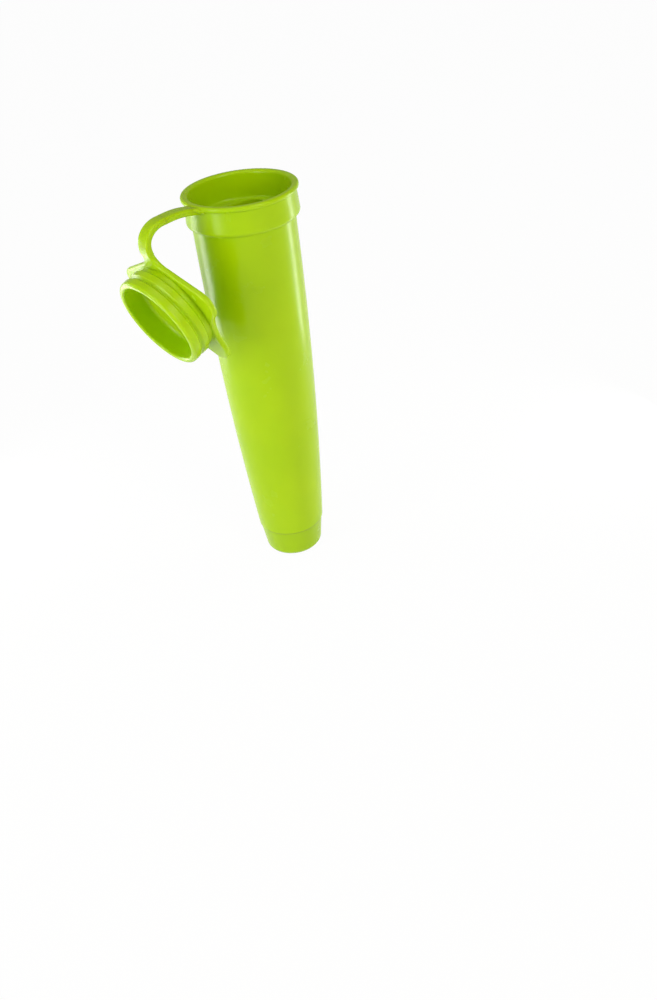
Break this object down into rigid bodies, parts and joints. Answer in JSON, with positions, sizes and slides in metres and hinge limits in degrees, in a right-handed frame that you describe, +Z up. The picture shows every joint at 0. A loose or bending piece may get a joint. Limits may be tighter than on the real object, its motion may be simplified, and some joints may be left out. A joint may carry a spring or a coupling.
{
  "type": "ice pop mold",
  "caption": "Tall round silicone ice pop mold with a star-lobed cavity and a star-shaped lid with a ribbed plug, tied to the lip by a short flexible strap.",
  "frame": {"origin": "centre of the underside of the flat foot", "axes": "+Z up along the tube's axis, strap and lid on the -X side, the part is symmetric about the XZ plane"},
  "size_m": [0.0703, 0.0474, 0.1543],
  "materials": {
    "silicone": "satin moulded silicone, slightly translucent lime green"
  },
  "bodies": {
    "tube": {"tube": "silicone"},
    "strap_rise": {"strap_rise": "silicone"},
    "strap_bend": {"strap_bend": "silicone"},
    "lid": {"lid": "silicone"}
  },
  "joints": [
    {"name": "strap_flex_root", "type": "hinge", "parent": "tube", "child": "strap_rise", "pos_m": [-0.02266, 0, 0.15185], "axis": [0, 1, 0], "range_deg": [-35.95, 0], "deforming": ["strap_rise"]},
    {"name": "lid_swing", "type": "hinge", "parent": "strap_rise", "child": "strap_bend", "pos_m": [-0.03336, 0, 0.15309], "axis": [0, 1, 0], "range_deg": [0, 203.52], "deforming": ["strap_bend"]},
    {"name": "strap_flex_lid", "type": "hinge", "parent": "strap_bend", "child": "lid", "pos_m": [-0.04189, 0, 0.14632], "axis": [0, 1, 0], "range_deg": [0, 122.42], "deforming": ["strap_bend"]}
  ],
  "couplings": [
    {"joint": "strap_flex_root", "follows": "lid_swing", "ratio": -0.17661},
    {"joint": "strap_flex_lid", "follows": "lid_swing", "ratio": 0.60151}
  ]
}
